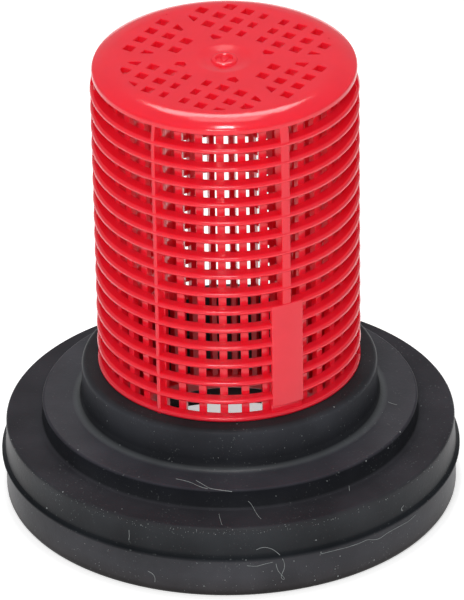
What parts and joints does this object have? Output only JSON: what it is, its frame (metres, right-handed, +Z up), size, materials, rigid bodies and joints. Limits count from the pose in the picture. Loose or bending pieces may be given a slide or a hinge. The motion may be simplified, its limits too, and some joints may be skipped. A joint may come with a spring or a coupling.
{
  "type": "filter nozzle",
  "caption": "Red moulded strainer basket with a slotted ring wall and a perforated cap, standing in a stepped black rubber base that is open underneath.",
  "frame": {"origin": "on the axis, at the underside of the rubber base", "axes": "+Z up along the axis towards the cap; -Y is the front, with the plate a little to its +X side"},
  "size_m": [0.0788, 0.0788, 0.0837],
  "materials": {
    "red_plastic": "glossy red moulded plastic",
    "black_rubber": "matt black moulded rubber"
  },
  "bodies": {
    "root": {"filter_basket": "red_plastic", "rubber_base": "black_rubber"}
  },
  "joints": []
}
